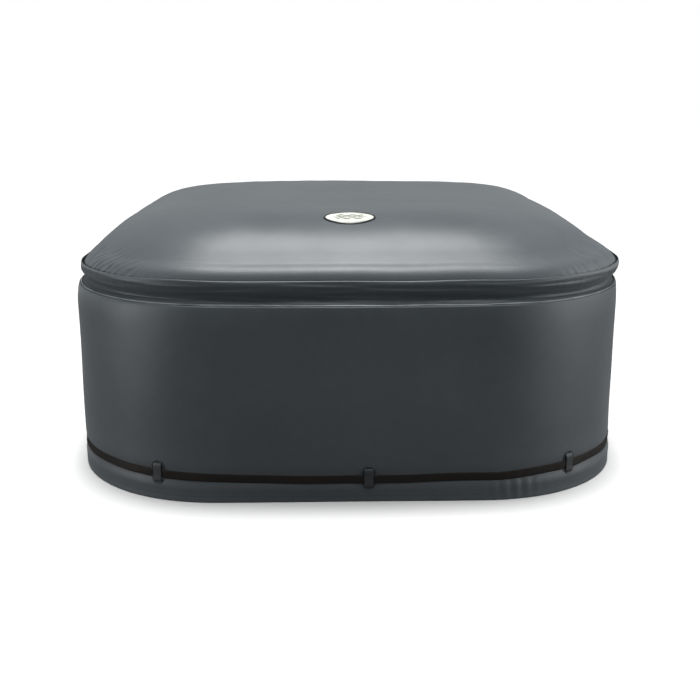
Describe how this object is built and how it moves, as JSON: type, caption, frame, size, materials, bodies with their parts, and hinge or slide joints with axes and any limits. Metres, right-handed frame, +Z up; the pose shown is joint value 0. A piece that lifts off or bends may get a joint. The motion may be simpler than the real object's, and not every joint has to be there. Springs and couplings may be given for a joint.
{
  "type": "spa cover",
  "caption": "Full-length fabric cover for a square inflatable spa: puffed lid, piped rim, skirt to the floor and a webbing strap with a side release buckle.",
  "frame": {"origin": "on the floor, under the middle of the cover", "axes": "+Z up, front (the side with the badge) towards -Y, +X to the right as seen from the front"},
  "size_m": [1.7663, 1.7671, 0.8177],
  "materials": {
    "cover_fabric": "coated weave, soft sheen",
    "piping": "smooth extruded piping",
    "badge_face": "satin",
    "badge_frame": "satin",
    "thermal_liner": "foil-faced foam",
    "binding_tape": "woven tape",
    "webbing": "woven webbing",
    "keeper_patch": "moulded, matte",
    "hook_and_loop": "hook and loop",
    "buckle_plastic": "moulded, fine grain",
    "bladder_film": "soft film",
    "lid_underside": "plain weave",
    "zip_fabric": "woven tape",
    "zip_nylon": "coil",
    "zip_metal": "die cast",
    "valve_plastic": "soft vinyl"
  },
  "bodies": {
    "cover": {"top_panel": "cover_fabric", "top_band": "cover_fabric", "rim_piping": "piping", "badge_plate": "badge_face", "badge_rim": "badge_frame", "skirt_wrap": "cover_fabric", "skirt_back": "cover_fabric", "liner_wrap": "thermal_liner", "liner_back": "thermal_liner", "seam_tape_left": "binding_tape", "seam_tape_right": "binding_tape", "hem_binding": "cover_fabric", "opening_binding": "binding_tape", "flap_hinge_tape": "binding_tape", "hook_strips": "hook_and_loop", "strap": "webbing", "strap_end_loop": "webbing", "strap_tail": "webbing", "tail_loop": "webbing", "keeper_1": "keeper_patch", "keeper_2": "keeper_patch", "keeper_3": "keeper_patch", "keeper_4": "keeper_patch", "keeper_5": "keeper_patch", "keeper_6": "keeper_patch", "keeper_7": "keeper_patch", "keeper_8": "keeper_patch", "keeper_9": "keeper_patch", "buckle_socket": "buckle_plastic", "buckle_plug": "buckle_plastic", "air_bladder": "bladder_film", "lid_liner": "lid_underside", "zip_tapes": "zip_fabric", "zip_coil": "zip_nylon", "valve_body": "valve_plastic"},
    "hose_flap": {"hose_flap": "cover_fabric", "flap_binding": "binding_tape", "flap_tab": "webbing", "loop_strips": "hook_and_loop"},
    "upper_prong": {"prong_upper": "buckle_plastic"},
    "lower_prong": {"prong_lower": "buckle_plastic"},
    "zip_slider": {"zip_slider": "zip_metal"},
    "zip_pull": {"zip_pull": "zip_metal"},
    "valve_cap": {"valve_cap": "valve_plastic"}
  },
  "joints": [
    {"name": "flap_hinge", "type": "hinge", "parent": "cover", "child": "hose_flap", "pos_m": [0, 0.8815, 0.468], "axis": [1, 0, 0], "range_deg": [0, 110]},
    {"name": "prong_upper_hinge", "type": "hinge", "parent": "cover", "child": "upper_prong", "pos_m": [0.8815, 0.006, 0.0855], "axis": [1, 0, 0], "range_deg": [0, 7], "stiffness_Nm_per_rad": 0.5},
    {"name": "prong_lower_hinge", "type": "hinge", "parent": "cover", "child": "lower_prong", "pos_m": [0.8815, 0.006, 0.0665], "axis": [-1, 0, 0], "range_deg": [0, 7], "stiffness_Nm_per_rad": 0.5},
    {"name": "zip_slide", "type": "slide", "parent": "cover", "child": "zip_slider", "axis": [1, 0, 0], "range_m": [0, 0.976]},
    {"name": "zip_pull_hinge", "type": "hinge", "parent": "zip_slider", "child": "zip_pull", "pos_m": [-0.488, 0.64, 0.7066], "axis": [0, 1, 0], "range_deg": [-80, 80]},
    {"name": "valve_cap_hinge", "type": "hinge", "parent": "cover", "child": "valve_cap", "pos_m": [0.57, 0.587, 0.6975], "axis": [1, 0, 0], "range_deg": [0, 120]}
  ]
}
